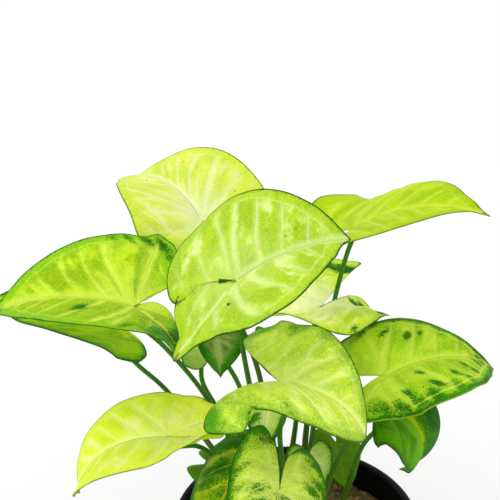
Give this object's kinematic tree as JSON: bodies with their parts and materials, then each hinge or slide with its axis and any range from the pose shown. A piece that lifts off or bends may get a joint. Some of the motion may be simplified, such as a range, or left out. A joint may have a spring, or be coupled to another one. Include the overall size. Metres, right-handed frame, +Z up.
{
  "type": "potted arrowhead plant",
  "caption": "Potted aroid house plant: arrowhead-shaped blades on slim petioles that rise from the soil of a tapered round nursery pot with a thick rim.",
  "frame": {"origin": "centre of the pot's underside, on the surface it stands on", "axes": "+Z up along the pot's axis, +Y away from the picture's viewer, +X to the viewer's right"},
  "size_m": [0.2393, 0.2273, 0.2811],
  "materials": {
    "pot": "satin black moulded plastic",
    "soil": "dark potting mix with bark",
    "leaf_lime": "satin lime leaf with cream veins and dark green margin specks",
    "leaf_pale": "satin pale yellow-green leaf",
    "leaf_green": "satin dark green leaf",
    "petiole": "satin green stalk"
  },
  "bodies": {
    "root": {"pot": "pot", "soil": "soil", "top_blade": "leaf_lime", "top_petiole": "petiole", "left_blade": "leaf_lime", "left_petiole": "petiole", "leftUnder_blade": "leaf_lime", "leftUnder_petiole": "petiole", "backLeft_blade": "leaf_pale", "backLeft_petiole": "petiole", "backRight_blade": "leaf_lime", "backRight_petiole": "petiole", "backMiddle_blade": "leaf_lime", "backMiddle_petiole": "petiole", "lowLeft_blade": "leaf_pale", "lowLeft_petiole": "petiole", "middle_blade": "leaf_lime", "middle_petiole": "petiole", "right_blade": "leaf_lime", "right_petiole": "petiole", "lowRight_blade": "leaf_green", "lowRight_petiole": "petiole", "front_blade": "leaf_lime", "front_petiole": "petiole", "frontLeft_blade": "leaf_green", "frontLeft_petiole": "petiole", "farLeft_blade": "leaf_green", "farLeft_petiole": "petiole", "hanging_blade": "leaf_green", "hanging_petiole": "petiole", "lobeLeft_blade": "leaf_lime", "lobeLeft_petiole": "petiole", "innerLeft_blade": "leaf_lime", "innerLeft_petiole": "petiole", "innerFront_blade": "leaf_lime", "innerFront_petiole": "petiole", "innerRight_blade": "leaf_green", "innerRight_petiole": "petiole", "innerBack_blade": "leaf_green", "innerBack_petiole": "petiole"}
  },
  "joints": []
}
